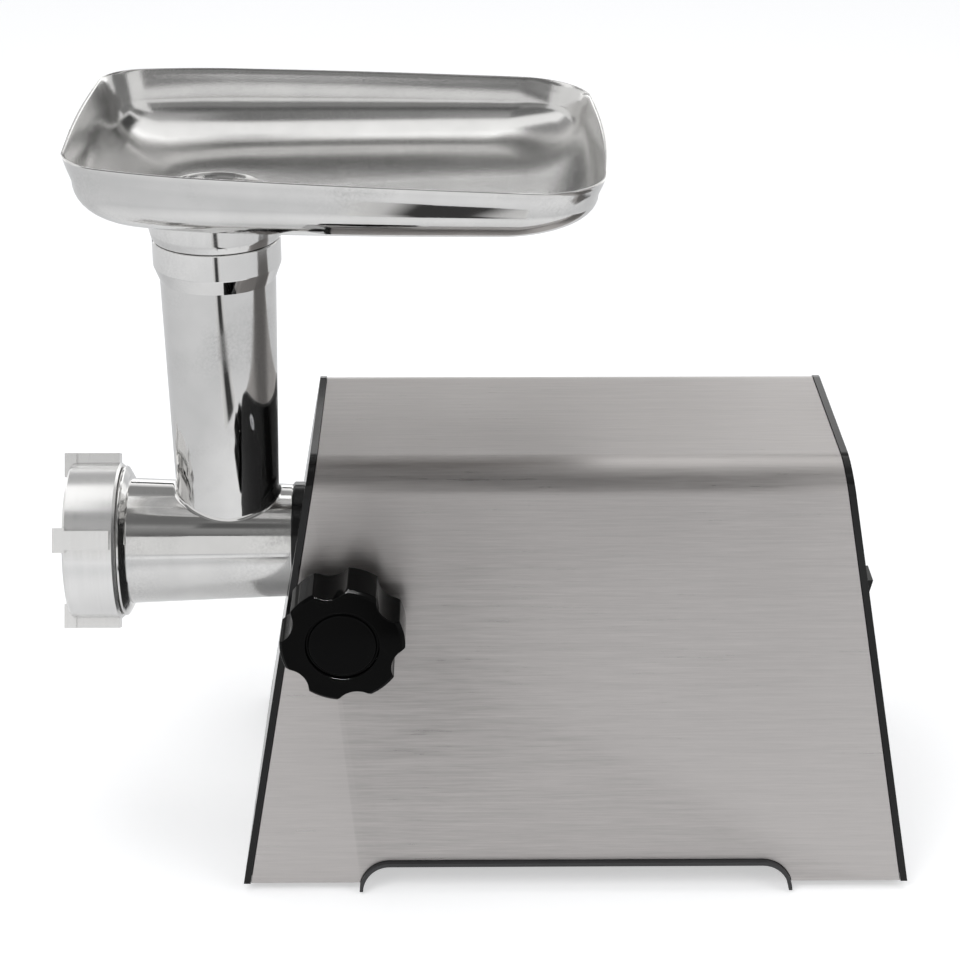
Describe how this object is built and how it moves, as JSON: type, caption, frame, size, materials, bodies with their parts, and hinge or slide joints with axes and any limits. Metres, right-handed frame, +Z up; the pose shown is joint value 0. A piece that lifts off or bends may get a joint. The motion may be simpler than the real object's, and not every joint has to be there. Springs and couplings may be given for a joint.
{
  "type": "electric meat grinder",
  "caption": "Electric meat grinder with a leaning brushed steel body, black end panels, side lock knob, and a cast metal grinding head with feed tray, auger and ring nut.",
  "frame": {"origin": "centre of the overall box in plan, on the plane the feet stand on", "axes": "+X from the ring nut towards the rear panel, +Y from the lock knob side towards the plain side, +Z up"},
  "size_m": [0.362, 0.1836, 0.317],
  "materials": {
    "brushed_stainless": "fine horizontal brushing, satin",
    "gloss_black": "smooth high gloss",
    "matte_black": "fine moulded texture",
    "knob_black": "semi-gloss with crisp edges",
    "black_rubber": "dull",
    "plain_steel": "turned, bright",
    "cutting_steel": "ground flat",
    "bearing_steel": "ground and polished",
    "gear_steel": "sintered, oiled",
    "cast_alloy": "as cast, fine grain",
    "polished_aluminium": "cast and tumbled bright",
    "nylon": "natural, slightly waxy",
    "bronze": "sintered, dull",
    "laminated_iron": "stacked sheets, varnished",
    "copper": "enamelled wire",
    "carbon": "dull graphite",
    "board_green": "solder resist",
    "board_parts": "moulded parts",
    "reset_red": "semi-gloss"
  },
  "bodies": {
    "machine": {"steel_shell": "brushed_stainless", "front_panel": "gloss_black", "rear_panel": "gloss_black", "tie_rods": "plain_steel", "panel_screws": "plain_steel", "base_tray": "matte_black", "rubber_feet": "black_rubber", "base_screws": "plain_steel", "socket_bezel": "gloss_black", "head_socket": "cast_alloy", "lock_bush": "plain_steel", "gearbox_housing": "cast_alloy", "gearbox_cover": "cast_alloy", "cover_screws": "plain_steel", "output_bearing": "bearing_steel", "shaft_bushes": "bronze", "motor_front_bracket": "cast_alloy", "motor_rear_bracket": "cast_alloy", "motor_bolts": "plain_steel", "motor_bearings": "bearing_steel", "stator_stack": "laminated_iron", "field_coils": "copper", "brush_holders": "bronze", "carbon_brushes": "carbon", "control_board": "board_green", "board_parts": "board_parts", "terminal_block": "nylon", "switch_frame": "matte_black", "reset_breaker": "matte_black", "cord_gland": "black_rubber"},
    "head": {"grinder_head": "polished_aluminium"},
    "tray": {"tray_pan": "polished_aluminium", "tray_neck": "polished_aluminium"},
    "plate": {"grinding_plate": "cutting_steel"},
    "ring": {"ring_nut": "polished_aluminium"},
    "auger": {"auger": "polished_aluminium", "auger_stud": "plain_steel", "auger_drive": "plain_steel", "auger_washer": "nylon", "cutting_blade": "cutting_steel"},
    "lock_rod": {"lock_screw": "plain_steel"},
    "knob": {"lock_knob": "knob_black", "knob_cap": "knob_black"},
    "output": {"output_shaft": "plain_steel", "output_gear": "gear_steel", "drive_coupler": "gear_steel"},
    "middle": {"middle_shaft": "plain_steel", "middle_gear": "nylon", "middle_pinion": "gear_steel"},
    "first": {"first_shaft": "plain_steel", "first_gear": "nylon", "first_pinion": "gear_steel"},
    "armature": {"armature_core": "laminated_iron", "armature_windings": "copper", "motor_shaft": "plain_steel", "motor_pinion": "gear_steel", "commutator": "copper", "cooling_fan": "matte_black"},
    "rocker": {"switch_rocker": "gloss_black"},
    "reset": {"reset_button": "reset_red"}
  },
  "joints": [
    {"name": "head_slide", "type": "slide", "parent": "machine", "child": "head", "axis": [-1, 0, 0], "range_m": [0, 0.06]},
    {"name": "tray_lift", "type": "slide", "parent": "head", "child": "tray", "axis": [0, 0, 1], "range_m": [0, 0.04]},
    {"name": "plate_slide", "type": "slide", "parent": "head", "child": "plate", "axis": [-1, 0, 0], "range_m": [0, 0.018]},
    {"name": "ring_turn", "type": "hinge", "parent": "plate", "child": "ring", "pos_m": [-0.17783, 0.00546, 0.1259], "axis": [-1, 0, 0], "range_deg": [0, 2160]},
    {"name": "auger_spin", "type": "hinge", "parent": "head", "child": "auger", "pos_m": [-0.06, 0.00546, 0.1259], "axis": [1, 0, 0], "continuous": true},
    {"name": "output_spin", "type": "hinge", "parent": "machine", "child": "output", "pos_m": [0, 0.00546, 0.1259], "axis": [1, 0, 0], "continuous": true},
    {"name": "middle_spin", "type": "hinge", "parent": "machine", "child": "middle", "pos_m": [0, 0.01928, 0.07434], "axis": [1, 0, 0], "continuous": true},
    {"name": "first_spin", "type": "hinge", "parent": "machine", "child": "first", "pos_m": [0, -0.02135, 0.07434], "axis": [1, 0, 0], "continuous": true},
    {"name": "armature_spin", "type": "hinge", "parent": "machine", "child": "armature", "pos_m": [0, 0.01154, 0.06237], "axis": [1, 0, 0], "continuous": true},
    {"name": "lock_travel", "type": "slide", "parent": "machine", "child": "lock_rod", "axis": [0, -1, 0], "range_m": [0, 0.0045]},
    {"name": "lock_turn", "type": "hinge", "parent": "lock_rod", "child": "knob", "pos_m": [-0.05683, -0.07954, 0.1259], "axis": [0, -1, 0], "range_deg": [0, 1080]},
    {"name": "rocker_tip", "type": "hinge", "parent": "machine", "child": "rocker", "pos_m": [0.1618, -0.00754, 0.10466], "axis": [0, -1, 0], "range_deg": [0, 22]},
    {"name": "reset_press", "type": "slide", "parent": "machine", "child": "reset", "axis": [-0.9857, 0, -0.1685], "range_m": [0, 0.0015], "stiffness_N_per_m": 400, "springref_m": -0.0005}
  ],
  "couplings": [
    {"joint": "first_spin", "follows": "armature_spin", "ratio": -0.16667},
    {"joint": "middle_spin", "follows": "armature_spin", "ratio": 0.041667},
    {"joint": "output_spin", "follows": "armature_spin", "ratio": -0.011285},
    {"joint": "auger_spin", "follows": "armature_spin", "ratio": -0.011285},
    {"joint": "plate_slide", "follows": "ring_turn", "m_per_rad": 0.00047746},
    {"joint": "lock_travel", "follows": "lock_turn", "m_per_rad": 0.00023873}
  ]
}
